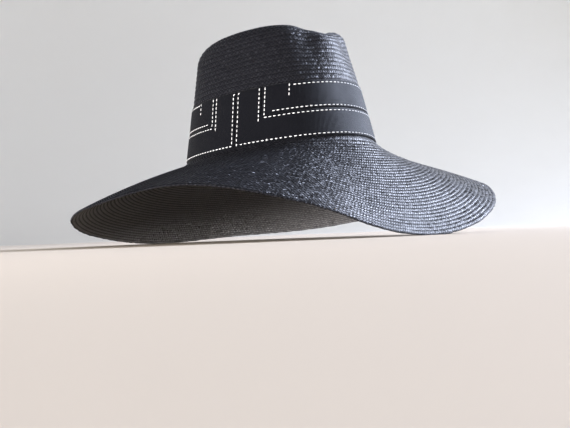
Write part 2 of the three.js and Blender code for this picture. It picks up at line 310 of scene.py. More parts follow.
class Skin:
    """Gathers loops of points round the hat and the strips of faces between them."""

    def __init__(self, columns):
        self.columns = columns
        self.loops, self.faces, self.uvs, self.materials = [], [], [], []

    def add_loop(self, points):
        self.loops.append(points)
        return len(self.loops) - 1

    def join(self, lower, upper, crossings, low, high, material):
        """A strip of faces from one loop to another, with its braid's crossings counted round it."""
        here = np.arange(self.columns)
        there = (here + 1) % self.columns
        a, b = lower * self.columns, upper * self.columns
        self.faces.append(np.stack([a + here, a + there, b + there, b + here], axis=-1))
        start, stop = crossings * here / self.columns, crossings * (here + 1) / self.columns
        corners = [(start, low), (stop, low), (stop, high), (start, high)]
        self.uvs.append(np.stack([np.stack([turn, np.full_like(turn, height)], -1)
                                  for turn, height in corners], axis=1))
        self.materials.append(np.full(self.columns, material))

    def join_rows(self, first, places, loops, pitch, material):
        """Strips between loops that stand side by side, with whole crossings round every row."""
        for index in range(len(places) - 1):
            crossings = self.crossings(places, loops, index, pitch)
            low, high = places[index][0], places[index + 1][0]
            self.join(first + index, first + index + 1, crossings, low, high, material)

    def join_rows_back(self, last, places, loops, pitch, material):
        """Adds the loops of an inner side from its far end back to its start."""
        for index in range(len(places) - 1, -1, -1):
            number = self.add_loop(loops[index])
            crossings = self.crossings(places, loops, index, pitch)
            high = places[min(index + 1, len(places) - 1)][0]
            self.join(last, number, crossings, high, places[index][0], material)
            last = number
        return last

    def crossings(self, places, loops, index, pitch):
        """How many crossings the braid has in the row that a place belongs to."""
        row = min(math.floor(places[index][0] + 1e-6), math.floor(places[-1][0] + 1e-6) - 1)
        middle = np.argmin(np.abs(places[:, 0] - row - 0.5))
        return max(5, round(round_length(loops[middle]) / pitch))

    def piece(self, name, materials):
        points = lay_down(np.concatenate(self.loops))
        points[:, 2] = np.maximum(points[:, 2], FLOOR_CLEARANCE)
        faces, uvs = np.concatenate(self.faces), np.concatenate(self.uvs)
        return add_piece(name, points, faces, uvs, materials, np.concatenate(self.materials))


def row_points(count, profile):
    """Where the points of all rows stand: row number plus share, and the height there."""
    places = [(row + rise.share, rise.height) for row in range(count) for rise in profile]
    places.append((float(count), profile[0].height))
    return np.array(places)


def round_length(loop):
    return np.linalg.norm(loop - np.roll(loop, 1, axis=0), axis=-1).sum()


# Settings that a user would change

def length_setting(name, description, default, low, high):
    return FloatProperty(name=name, description=description, default=default, min=low, max=high,
                         unit="LENGTH")


def colour_setting(name, description, *default):
    return FloatVectorProperty(name=name, description=description, default=(*default, 1), size=4,
                               min=0, max=1, subtype="COLOR")


class HatSizes(bpy.types.PropertyGroup):
    brim_row: length_setting(
        "Brim row", "Width that shows of one sewn row of braid on the brim", 0.0039, 0.003, 0.01)
    crown_row: length_setting(
        "Crown row", "Width that shows of one sewn row of braid on the crown", 0.0048, 0.003, 0.01)
    row_relief: length_setting(
        "Row relief", "How high the edge of a row stands above the row beside it", 0.0003, 0, 0.001)
    plait_pitch: length_setting(
        "Plait pitch", "Distance from one crossing of the plait to the next", 0.0036, 0.001, 0.006)
    stitch_pitch: length_setting(
        "Stitch pitch", "Distance from the start of one stitch to the next", 0.0044, 0.002, 0.01)
    stitch_length: length_setting(
        "Stitch length", "Length of a stitch that shows", 0.0028, 0.001, 0.01)
    stitch_width: length_setting(
        "Stitch width", "Thickness of the sewing thread", 0.00095, 0.0003, 0.003)
    camera_height: length_setting(
        "Camera height", "How far the camera stands above the floor", 0.007, 0.005, 2)


class HatColours(bpy.types.PropertyGroup):
    straw: colour_setting("Straw", "Colour of the black straw", 0.0075, 0.0075, 0.0095)
    # painted glint: the pale colour painted on the tops of a few reeds, standing in for the light that
    # they catch
    glint: colour_setting("Straw glint", "Colour of the smoothest, palest reeds", 0.105, 0.115, 0.14)
    # painted light: the inner face is given a far paler colour than the straw's own, standing in for
    # light bounced up from the floor under the brim
    inner_straw: colour_setting(
        "Inner straw", "Colour of the straw's duller inner face", 0.158, 0.154, 0.156)
    ribbon: colour_setting("Ribbon", "Colour of the grosgrain", 0.0034, 0.0035, 0.0046)
    thread: colour_setting("Thread", "Colour of the sewing thread", 0.6, 0.605, 0.61)
    floor: colour_setting("Floor", "Colour of the floor", 0.61, 0.53, 0.44)
    wall: colour_setting("Wall", "Colour of the wall behind", 0.81, 0.79, 0.735)


# Node trees

class NodeSketch:
    """Adds nodes to a tree, so that a material reads as a list of steps."""

    def __init__(self, tree):
        self.tree = tree

    def add(self, kind, links=None, **settings):
        node = self.tree.nodes.new(kind)
        for name, value in settings.items():
            setattr(node, name, value)
        self.fill(node, links or {})
        return node

    def fill(self, node, links):
        """Gives a node's sockets their values, each a link from another node or a plain value."""
        for name, value in links.items():
            socket = node.inputs[name]
            if isinstance(value, bpy.types.NodeSocket):
                self.tree.links.new(value, socket)
            else:
                socket.default_value = value

    def maths(self, operation, first, second=0.0, third=0.0):
        values = {0: first, 1: second, 2: third}
        return self.add("ShaderNodeMath", values, operation=operation).outputs[0]

    def times(self, first, *others):
        """The product of two or more numbers."""
        for other in others:
            first = self.maths("MULTIPLY", first, other)
        return first

    def uneven(self, broad=30.0, fine=700.0):
        values = {"Broad size": broad, "Fine size": fine}
        return self.add("ShaderNodeGroup", values, node_tree=uneven_group()).outputs[0]

    def blend(self, share, first, second):
        """A number between first and second."""
        return self.add("ShaderNodeMix", {0: share, 2: first, 3: second}, data_type="FLOAT").outputs[0]

    def blend_colours(self, share, first, second, blend_type="MIX"):
        node = self.add("ShaderNodeMix", {0: share, 6: first, 7: second}, data_type="RGBA")
        node.blend_type = blend_type
        return node.outputs[2]

    def spread(self, value, low, high, to_low=0.0, to_high=1.0):
        links = {"Value": value, "From Min": low, "From Max": high, "To Min": to_low, "To Max": to_high}
        return self.add("ShaderNodeMapRange", links, interpolation_type="SMOOTHSTEP").outputs[0]

    def surface_place(self):
        """The two numbers of the piece's own surface map."""
        place = self.add("ShaderNodeUVMap", uv_map="surface")
        parts = self.add("ShaderNodeSeparateXYZ", {0: place.outputs[0]})
        return parts.outputs[0], parts.outputs[1]


def new_group(name, inputs, outputs):
    """An empty shader node group with named sockets, each given as (kind, name, default)."""
    group = bpy.data.node_groups.new(name, "ShaderNodeTree")
    for kind, label, default in inputs:
        socket = group.interface.new_socket(name=label, in_out="INPUT", socket_type=kind)
        socket.default_value = default
    for kind, label in outputs:
        group.interface.new_socket(name=label, in_out="OUTPUT", socket_type=kind)
    nodes = NodeSketch(group)
    return group, nodes, nodes.add("NodeGroupInput"), nodes.add("NodeGroupOutput")


def uneven_group():
    """Soft unevenness at two scales, for roughness, bumps and random tone, and to vary the painted
    highlights and shade.
    """
    found = bpy.data.node_groups.get("Uneven finish")
    if found:
        return found
    group, nodes, given, result = new_group(
        "Uneven finish",
        [("NodeSocketFloat", "Broad size", 30.0), ("NodeSocketFloat", "Fine size", 700.0),
         ("NodeSocketFloat", "Fine share", 0.5)],
        [("NodeSocketFloat", "Value")])
    place = nodes.add("ShaderNodeTexCoord").outputs["Object"]
    broad = nodes.add("ShaderNodeTexNoise", {"Vector": place, "Scale": given.outputs[0], "Detail": 2.0})
    fine = nodes.add("ShaderNodeTexNoise", {"Vector": place, "Scale": given.outputs[1], "Detail": 1.0})
    value = nodes.blend(given.outputs[2], broad.outputs[0], fine.outputs[0])
    group.links.new(value, result.inputs[0])
    return group


def plait_group():
    """The plait of a straw braid: reeds that pass over and under each other on two diagonals."""
    found = bpy.data.node_groups.get("Plaited straw")
    if found:
        return found
    group, nodes, given, result = new_group(
        "Plaited straw",
        [("NodeSocketColor", "Reed", (0.01, 0.01, 0.01, 1)),
         ("NodeSocketColor", "Glint", (0.1, 0.1, 0.1, 1)), ("NodeSocketFloat", "Glint share", 0.5),
         ("NodeSocketFloat", "Smooth roughness", 0.25), ("NodeSocketFloat", "Dull roughness", 0.6),
         ("NodeSocketFloat", "Seam width", 0.09), ("NodeSocketFloat", "Seam painted shade", 0.25),
         ("NodeSocketFloat", "Ridge place", 0.8)],
        [("NodeSocketColor", "Colour"), ("NodeSocketFloat", "Roughness"), ("NodeSocketFloat", "Height"),
         ("NodeSocketFloat", "Lacquer")])
    along, rows = nodes.surface_place()
    rising, falling = nodes.maths("ADD", along, rows), nodes.maths("SUBTRACT", along, rows)
    rising_cell, falling_cell = nodes.maths("FLOOR", rising), nodes.maths("FLOOR", falling)
    rising_ridge, falling_ridge = (
        nodes.maths("SINE", nodes.times(nodes.maths("FRACT", way), math.pi))
        for way in (rising, falling))
    over = nodes.maths("FLOORED_MODULO", nodes.maths("ADD", rising_cell, falling_cell), 2.0)
    one_way, other_way = (
        nodes.times(ridge, nodes.maths("MULTIPLY_ADD", crossed, REED_DIP, 1 - REED_DIP))
        for ridge, crossed in ((rising_ridge, falling_ridge), (falling_ridge, rising_ridge)))
    reed = nodes.blend(over, one_way, other_way)
    crossing = nodes.times(rising_ridge, falling_ridge)
    cell = nodes.add("ShaderNodeCombineXYZ", {0: rising_cell, 1: falling_cell}).outputs[0]
    luck = nodes.add("ShaderNodeTexWhiteNoise", {"Vector": cell}, noise_dimensions="2D")
    chance = luck.outputs["Value"]
    lucks = nodes.add("ShaderNodeSeparateColor", {0: luck.outputs["Color"]}).outputs
    # the line where one row is sewn to the next, darkened with painted shade in the valley between the
    # rows
    share = nodes.maths("FRACT", rows)
    edge = nodes.maths("MINIMUM", share, nodes.maths("SUBTRACT", 1.0, share))
    clear = nodes.spread(edge, 0.0, given.outputs["Seam width"])
    # the raised edge of a row, rubbed a little smoother than the rest
    off_ridge = nodes.maths("ABSOLUTE", nodes.maths("SUBTRACT", share, given.outputs["Ridge place"]))
    ridge = nodes.spread(off_ridge, RIDGE_WIDTH, 0.0)
    # painted glints: the tops of a few random reeds are painted paler, more in some patches than in
    # others, standing in for the light that they catch
    patches = nodes.spread(nodes.uneven(45.0, 420.0), 0.3, 0.65, 0.35, 1.25)
    painted_highlight = nodes.times(nodes.maths("POWER", chance, GLINT_RARITY), reed, clear,
                       given.outputs["Glint share"], patches)
    colour = nodes.blend_colours(painted_highlight, given.outputs["Reed"], given.outputs["Glint"])
    # painted shade: the colour is darkened in the seam's valley between the rows
    shade = nodes.blend(clear, given.outputs["Seam painted shade"], 1.0)
    shade = nodes.add("ShaderNodeCombineColor", {0: shade, 1: shade, 2: shade}).outputs[0]
    colour = nodes.blend_colours(1.0, colour, shade, "MULTIPLY")
    polish = nodes.times(crossing, clear, nodes.maths("POWER", lucks[2], POLISH_RARITY))
    rough = nodes.blend(polish, given.outputs["Dull roughness"], given.outputs["Smooth roughness"])
    # most crossings lean a little and a few lean far, so that a few catch the light from far off
    height = reed
    for way, tilt in ((rising, lucks[0]), (falling, lucks[1])):
        offset = nodes.maths("SUBTRACT", nodes.maths("FRACT", way), 0.5)
        lean = nodes.maths("MULTIPLY_ADD", tilt, 2.0, -1.0)
        height = nodes.maths("MULTIPLY_ADD", offset, nodes.times(lean, lean, lean, LEAN_REACH), height)
    height = nodes.maths("MULTIPLY_ADD", chance, CHANCE_HEIGHT, height)
    height = nodes.times(height, nodes.maths("MULTIPLY_ADD", clear, 1 - SEAM_HEIGHT, SEAM_HEIGHT))
    height = nodes.maths("MULTIPLY_ADD", ridge, RIDGE_HEIGHT, height)
    # the lacquer lies on top of the crossings, thicker on some than on others and most on the ridge
    lacquer = nodes.times(nodes.spread(crossing, 0.3, 0.75), clear,
                          nodes.maths("MULTIPLY_ADD", chance, 0.4, 0.5),
                          nodes.maths("MULTIPLY_ADD", ridge, 0.4, 0.75))
    nodes.fill(result, {0: colour, 1: rough, 2: height, 3: lacquer})
    return group


def new_material(name):
    """A material with a Principled shader and nothing else, the sketch of its nodes, and the shader."""
    material = bpy.data.materials.new(name)
    material.use_nodes = True
    return material, NodeSketch(material.node_tree), material.node_tree.nodes["Principled BSDF"]


def straw_material(name, reed, glint, glint_share, smooth_rough, dull_rough, seam, ridge, depth, shine):
    """Plaited straw: seam is the seam's width and the painted shade in it, and ridge is where a row
    stands highest.
    """
    found = bpy.data.materials.get(name)
    if found:
        return found
    material, nodes, shader = new_material(name)
    plait = nodes.add("ShaderNodeGroup", {
        "Reed": reed, "Glint": glint, "Glint share": glint_share,
        "Smooth roughness": smooth_rough, "Dull roughness": dull_rough,
        "Seam width": seam[0], "Seam painted shade": seam[1], "Ridge place": ridge,
    }, node_tree=plait_group()).outputs
    bump = nodes.add("ShaderNodeBump", {"Height": plait["Height"], "Strength": 1.0, "Distance": depth})
    nodes.fill(shader, {
        "Base Color": plait["Colour"], "Roughness": plait["Roughness"], "Normal": bump.outputs[0],
        "Coat Weight": plait["Lacquer"], "Coat Roughness": 0.34, "Coat IOR": shine,
        "Specular IOR Level": 0.3, "Specular Tint": (0.84, 0.87, 1.0, 1)})
    return material


def outer_straw():
    colours = bpy.context.scene.hat_colours
    return straw_material("Black straw, outside", colours.straw, colours.glint, 0.07, 0.1, 0.6,
                          seam=(0.08, 0.3), ridge=0.82, depth=0.0006, shine=1.64)


def crown_straw():
    """The brim's straw again, pressed smoother on the block."""
    colours = bpy.context.scene.hat_colours
    return straw_material("Black straw, crown", colours.straw, colours.glint, 0.03, 0.1, 0.6,
                          seam=(0.12, 0.5), ridge=0.2, depth=0.0004, shine=1.57)


def inner_straw():
    colours = bpy.context.scene.hat_colours
    # its pale colour is painted light, and its wide dark seams are painted shade
    return straw_material("Black straw, inside", colours.inner_straw, colours.glint, 0.25, 0.4, 0.75,
                          seam=(0.28, 0.25), ridge=0.7, depth=0.0005, shine=1.45)


def grosgrain():
    """Ribbed cloth, whose ribs turn with the ribbon where it is folded up at the fret."""
    found = bpy.data.materials.get("Black grosgrain")
    if found:
        return found
    material, nodes, shader = new_material("Black grosgrain")
    along, height = nodes.surface_place()
    away = nodes.maths("ABSOLUTE", along)
    fold = nodes.maths("SUBTRACT", height, nodes.times(away, FOLD_SLOPE))
    turned = nodes.times(nodes.maths("GREATER_THAN", fold, 0.0),
                         nodes.maths("LESS_THAN", away, FOLD_END))
    walk, side = nodes.blend(turned, along, height), nodes.blend(turned, height, along)
    rib = nodes.maths("ABSOLUTE", nodes.maths("SINE", nodes.times(walk, math.pi / RIB_STEP)))
    yarn = nodes.maths("SINE", nodes.times(side, 2 * math.pi / YARN_STEP))
    crease = nodes.spread(nodes.maths("ABSOLUTE", fold), 0.0, 0.8)
    crease = nodes.maths("MAXIMUM", crease, nodes.maths("GREATER_THAN", away, FOLD_END))
    uneven = nodes.uneven()
    tall = rib
    for part, share in ((yarn, 0.12), (crease, 0.7), (uneven, 0.6)):
        tall = nodes.maths("MULTIPLY_ADD", part, share, tall)
    bump = nodes.add("ShaderNodeBump", {"Height": tall, "Strength": 0.8, "Distance": 0.00022})
    ribbon = tuple(bpy.context.scene.hat_colours.ribbon)
    # painted sheen: the crests of the ribs are painted paler than the grooves between them, more in
    # some random patches than in others
    painted_highlight = tuple(min(1, 1.9 * part) for part in ribbon[:3]) + (1,)
    nodes.fill(shader, {
        "Base Color": nodes.blend_colours(nodes.times(rib, uneven), ribbon, painted_highlight),
        "Roughness": nodes.spread(uneven, 0.3, 0.7, 0.62, 0.5), "Normal": bump.outputs[0],
        "Sheen Weight": 0.03, "Sheen Roughness": 0.4,
        "Specular IOR Level": 0.2, "Specular Tint": (0.8, 0.87, 1.0, 1)})
    return material


def white_thread():
    """Twisted cotton thread."""
    found = bpy.data.materials.get("White thread")
    if found:
        return found
    material, nodes, shader = new_material("White thread")
    along, across = nodes.surface_place()
    twist = nodes.maths("SINE", nodes.times(nodes.maths("ADD", along, across), 2 * math.pi))
    uneven = nodes.uneven()
    thread = tuple(bpy.context.scene.hat_colours.thread)
    # painted shade: the thread is darker in the grooves of its twist, and in random patches
    shade = tuple(0.72 * part for part in thread[:3]) + (1,)
    lit = nodes.spread(nodes.maths("ADD", twist, uneven), -0.4, 0.6)
    bump = nodes.add("ShaderNodeBump", {"Height": twist, "Strength": 0.6, "Distance": 0.00012})
    nodes.fill(shader, {
        "Base Color": nodes.blend_colours(lit, shade, thread),
        "Roughness": nodes.spread(uneven, 0.3, 0.7, 0.5, 0.65), "Normal": bump.outputs[0]})
    return material


# The pieces

class HAT_OT_brim(bpy.types.Operator):
    """Braids the drooping brim in rows, from the headline out to its edge"""
    bl_idname = "sun_hat.brim"
    bl_label = "Braid the brim"

    def execute(self, context):
        sizes = context.scene.hat_sizes
        relief, pitch = sizes.row_relief * 1000, sizes.plait_pitch * 1000
        rows = round(BRIM_WIDTH / (sizes.brim_row * 1000))
        angles = -180 + 360 * np.arange(BRIM_COLUMNS) / BRIM_COLUMNS
        skin = Skin(BRIM_COLUMNS)

        def grid_of(places):
            drift = np.stack([gentle_noise(angles, BRIM_DRIFT_SEED + int(place))
                              for place in places[:, 0]])
            inside = np.sin(math.pi * places[:, :1] / rows) ** 0.5
            share = np.clip((places[:, :1] + ROW_DRIFT * drift * inside) / rows, 0, 1)
            return brim_point(angles[None, :], share)

        top_places, under_places = row_points(rows, OUTER_ROW), row_points(rows, INNER_ROW)
        top, under = grid_of(top_places), grid_of(under_places)
        up = -grid_normals(top)
        under_up = -grid_normals(under)
        up *= np.sign(up[..., 2:])
        under_up *= np.sign(under_up[..., 2:])
        lift = ROW_LIFT * np.stack([gentle_noise(angles, BRIM_LIFT_SEED + int(place))
                                    for place in top_places[:, 0]])
        top = top + up * (top_places[:, 1:2] * relief + lift)[..., None]
        under = under - under_up * (WALL + INNER_RELIEF * under_places[:, 1:2] * relief)[..., None]

        for loop in top:
            skin.add_loop(loop)
        skin.join_rows(0, top_places, top, pitch, 0)
        # the rounded edge, from the top over to the underside
        edge_out = top[-1] - top[-3]
        edge_out /= np.linalg.norm(edge_out, axis=-1, keepdims=True)
        middle = (top[-1] + under[-1]) / 2
        half = (top[-1] - under[-1]) / 2
        # the plait makes the edge itself a little uneven
        reach = np.random.default_rng(EDGE_SEED).normal(EDGE_REACH, EDGE_UNEVEN, BRIM_COLUMNS)[:, None]
        last = len(top) - 1
        crossings = round(round_length(top[-1]) / pitch)
        for step, turn in enumerate((60, 30, 0, -30, -60)):
            lean = math.radians(turn)
            loop = middle + half * math.sin(lean) * EDGE_PLUMP + edge_out * math.cos(lean) * reach
            number = skin.add_loop(loop)
            skin.join(last, number, crossings, rows + 0.2 * step, rows + 0.2 * (step + 1), 0)
            last = number
        last = skin.join_rows_back(last, under_places, under, pitch, 1)
        skin.join(last, 0, crossings, 0.0, 0.5, 1)
        piece = skin.piece("brim_braid", [outer_straw(), inner_straw()])
        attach(piece, "root")
        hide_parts("brim")
        return {"FINISHED"}


class HAT_OT_crown(bpy.types.Operator):
    """Braids the crown in rows, up its wall, over its shoulder and into the dent along its top"""
    bl_idname = "sun_hat.crown"
    bl_label = "Braid the crown"

    def execute(self, context):
        sizes = context.scene.hat_sizes
        relief, pitch = sizes.row_relief * 1000, sizes.plait_pitch * 1000
        width = sizes.crown_row * 1000
        angles = -180 + 360 * np.arange(CROWN_COLUMNS) / CROWN_COLUMNS
        stations = np.unique(np.concatenate([np.linspace(*part) for part in CROWN_STATIONS]))
        profile = crown_point(angles[None, :], stations[:, None])
        steps = np.linalg.norm(np.diff(profile, axis=0), axis=-1)
        travelled = np.concatenate([np.zeros((1, CROWN_COLUMNS)), np.cumsum(steps, axis=0)])
        length = travelled[-1]
        level = LEVEL_ROWS * width
        rows = LEVEL_ROWS + round(float(np.mean(length) - level) / width)

        def grid_of(places):
            """Rows of even width up the foot of the wall, and even shares of what is left above it."""
            above = (length - level) / (rows - LEVEL_ROWS)
            place = places[:, :1]
            drift = np.stack([gentle_noise(angles, CROWN_DRIFT_SEED + int(spot))
                              for spot in places[:, 0]])
            place = place + ROW_DRIFT * drift * np.sin(math.pi * place / rows) ** 0.5
            distance = np.where(place < LEVEL_ROWS, place * width, level + (place - LEVEL_ROWS) * above)
            station = np.stack([np.interp(distance[:, column], travelled[:, column], stations)
                                for column in range(CROWN_COLUMNS)], axis=1)
            return crown_point(angles[None, :], station)

        # a row's raised edge is its lower one here, so the profile is read from the top down
        turned_row = [Rise(1 - rise.share, rise.height) for rise in reversed(OUTER_ROW[1:])]
        outer_places = row_points(rows, [Rise(0.0, OUTER_ROW[0].height)] + turned_row)
        inner_places = row_points(rows, INNER_ROW)
        outer, inner = grid_of(outer_places), grid_of(inner_places)
        outward, inner_outward = grid_normals(outer), grid_normals(inner)
        side = np.sign((outward[0] * (outer[0] - [0, DENT_CENTRE, 0])).sum(axis=-1).mean())
        outward, inner_outward = outward * side, inner_outward * side
        # under the ribbons the braid lies flat
        free = smooth((outer[..., 2] - headline(angles)[None, :] - RIBBON_TOP - FLAT_ABOVE) / FLAT_FADE)
        shallow = smooth((rows - outer_places[:, :1]) / CENTRE_FADE)
        height = outer_places[:, 1:2] * relief * shallow
        height = np.where(height > 0, height * free, height)
        outer = outer + outward * height[..., None]
        inner_height = WALL + INNER_RELIEF * inner_places[:, 1:2] * relief
        inner = inner - inner_outward * np.broadcast_to(inner_height, inner.shape[:2])[..., None]

        skin = Skin(CROWN_COLUMNS)
        for loop in outer:
            skin.add_loop(loop)
        skin.join_rows(0, outer_places, outer, pitch, 0)
        # a small button closes the plait at the centre, outside and inside
        hub, inner_hub = (skin.add_loop(loop.mean(axis=0) + (loop - loop.mean(axis=0)) * HUB_SHARE)
                          for loop in (outer[-1], inner[-1]))
        skin.join(len(outer) - 1, hub, HUB_CROSSINGS, rows, rows + 0.5, 0)
        skin.join(hub, inner_hub, HUB_CROSSINGS, rows + 0.5, rows + 0.6, 1)
        last = skin.join_rows_back(inner_hub, inner_places, inner, pitch, 1)
        skin.join(last, 0, HUB_CROSSINGS, 0.0, 0.5, 1)
        piece = skin.piece("crown_braid", [crown_straw(), inner_straw()])
        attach(piece, "root")
        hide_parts("crown")
        return {"FINISHED"}


# Places on the ribbons

class RibbonMap:
    """Turns a distance along the wall from the middle of the fret, and a height, into a place.

    Near the fret the distance is the true one at every height, so that the ribbons' legs stay
    even in width up the leaning wall, and the rest of the way round is shared out evenly."""

    def __init__(self):
        turns = np.linspace(0, 360, MAP_TURNS)
        self.heights = np.linspace(0, RIBBON_TOP + 2, MAP_HEIGHTS)
        lengths, ways = [], []
        for height in self.heights:
            points = wall_point(RIBBON_LEGS + turns, np.full_like(turns, height))
            steps = np.linalg.norm(np.diff(points, axis=0), axis=-1)
            ways.append(np.concatenate([[0], np.cumsum(steps)]))
            lengths.append(ways[-1][-1])
        self.length = float(np.interp(RIBBON_TOP / 2, self.heights, lengths))
        self.alongs = np.linspace(0, self.length, MAP_ALONGS)
        near = LEG_REACH
        self.angles = np.stack([
            np.interp(np.interp(self.alongs, [0, near, self.length - near, self.length],
                                [0, near, length - near, length]), way, turns)
            for way, length in zip(ways, lengths)])

    def angle(self, along, height):
        along, height = np.broadcast_arrays(np.asarray(along, float) % self.length, height)
        column = along / self.length * (len(self.alongs) - 1)
        row = np.clip(height / self.heights[-1], 0, 1) * (len(self.heights) - 1)
        left = np.clip(column.astype(int), 0, len(self.alongs) - 2)
        below = np.clip(row.astype(int), 0, len(self.heights) - 2)
        over, up = column - left, row - below
        table = self.angles
        low = table[below, left] * (1 - over) + table[below, left + 1] * over
        high = table[below + 1, left] * (1 - over) + table[below + 1, left + 1] * over
        return RIBBON_LEGS + low * (1 - up) + high * up

    def point(self, along, height, outward):
        angle = self.angle(along, height)
        return wall_point(angle, headline(angle) + height, outward)

    def away(self, along):
        """The distance from the middle of the fret, whichever way round is shorter."""
        return np.minimum(along % self.length, self.length - along % self.length)


def ribbon_panel(name, alongs, heights, edge_distance, thickness, filled, ribbons):
    """A ribbon as a closed thin body over a grid, with soft edges."""
    columns, rows = len(alongs), len(heights)
    along, height = np.meshgrid(alongs, heights, indexing="ij")
    inside = edge_distance(along, height)
    sway = WAVE_SWAY * np.sin(height / SWAY_LENGTH)
    wave = WAVE_HEIGHT * np.sin(along / WAVE_LENGTH + sway) * smooth(inside / WAVE_START)
    plump = EDGE_THIN + (1 - EDGE_THIN) * smooth(inside / EDGE_SOFT)
    face_out = RIBBON_CLEARANCE + thickness * plump + wave
    back_out = np.full_like(face_out, RIBBON_CLEARANCE)
    layers = [ribbons.point(along, height, out).reshape(-1, 3) for out in (face_out, back_out)]
    points = np.concatenate(layers)
    count = columns * rows
    cloth = np.zeros((columns + 1, rows + 1), bool)
    for column in range(columns - 1):
        for row in range(rows - 1):
            cloth[column + 1, row + 1] = filled(alongs[column:column + 2].mean(),
                                                heights[row:row + 2].mean())
    faces = []
    for column in range(columns - 1):
        for row in range(rows - 1):
            if not cloth[column + 1, row + 1]:
                continue
            first, beside = column * rows + row, (column + 1) * rows + row
            corners = [first, beside, beside + 1, first + 1]
            faces += [corners, [count + corner for corner in reversed(corners)]]
            # the edges, where no cloth lies beside this face
            for over, up, start, end in ((0, -1, 0, 1), (1, 0, 1, 2), (0, 1, 2, 3), (-1, 0, 3, 0)):
                if not cloth[column + 1 + over, row + 1 + up]:
                    a, b = corners[start], corners[end]
                    faces.append([b, a, count + a, count + b])
    used = np.unique(np.concatenate([np.array(face) for face in faces]))
    renumber = np.zeros(2 * count, int)
    renumber[used] = np.arange(len(used))
    side = ribbons.length
    flat = np.stack([(along.ravel() + side / 2) % side - side / 2, height.ravel() / UPRIGHT], axis=-1)
    flat = np.concatenate([flat, flat])
    uvs = []
    for face in faces:
        corner = flat[face].copy()
        if np.ptp(corner[:, 0]) > side / 2:
            corner[corner[:, 0] < 0, 0] += side
        uvs.extend(corner.tolist())
    faces = [renumber[face].tolist() for face in faces]
    return add_piece(name, lay_down(points[used]), faces, uvs, [grosgrain()])


def even_steps(start, end, step):
    return np.linspace(start, end, max(2, round(abs(end - start) / step) + 1))


def edge_steps(start, end, step):
    """Even steps with two finer ones at either end, for a soft edge."""
    inner = even_steps(start + SECOND_STEP, end - SECOND_STEP, step)
    return np.concatenate([[start, start + FINE_STEP], inner, [end - FINE_STEP, end]])


class HAT_OT_ribbons(bpy.types.Operator):
    """Wraps the two grosgrain ribbons round the foot of the crown"""
    bl_idname = "sun_hat.ribbons"
    bl_label = "Wrap the ribbons"

    def execute(self, context):
        ribbons = RibbonMap()
        leg, slit, top = RIBBON_WIDTH, RIBBON_SLIT / 2, RIBBON_TOP
        far = ribbons.length

        def lower_edge(along, height):
            away = ribbons.away(along)
            ends = np.minimum(np.minimum(height - RIBBON_LIFT, top - height), away - slit)
            over, under = leg - away, RIBBON_WIDTH - height
            corner = np.hypot(np.maximum(over, 0), np.maximum(under, 0))
            corner = np.where((over >= 0) & (under < 0), over, corner)
            corner = np.where((over < 0) & (under > 0), under, corner)
            return np.clip(np.minimum(ends, corner), 0, None)

        def lower_filled(along, height):
            return height < RIBBON_WIDTH or ribbons.away(along) < leg

        legs = edge_steps(slit, leg, LEG_STEP)
        round_back = even_steps(leg + FINE_STEP, far - leg - FINE_STEP, ALONG_STEP)
        alongs = np.concatenate([legs, round_back, far - legs[::-1]])
        heights = np.concatenate([edge_steps(RIBBON_LIFT, RIBBON_WIDTH, HEIGHT_STEP),
                                  edge_steps(RIBBON_WIDTH, top, HEIGHT_STEP)[1:]])
        lower = ribbon_panel("lower_ribbon_cloth", alongs, heights, lower_edge, LOWER_THICKNESS,
                             lower_filled, ribbons)

        start, bottom = leg + RIBBON_GAP, RIBBON_WIDTH + RIBBON_GAP

        def upper_edge(along, height):
            away = ribbons.away(along)
            return np.clip(np.minimum(np.minimum(height - bottom, top - height), away - start), 0, None)

        upper = ribbon_panel("upper_ribbon_cloth", edge_steps(start, far - start, ALONG_STEP),
                             edge_steps(bottom, top, HEIGHT_STEP), upper_edge, UPPER_THICKNESS,
                             lambda along, height: True, ribbons)
        cloths = [
            (lower, "lower_ribbon", (0.028, 0.615)),
            (upper, "upper_ribbon", (0.028, 0.495)),
        ]
        for piece, node, flat in cloths:
            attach(piece, "root")
            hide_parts(node)
        return {"FINISHED"}


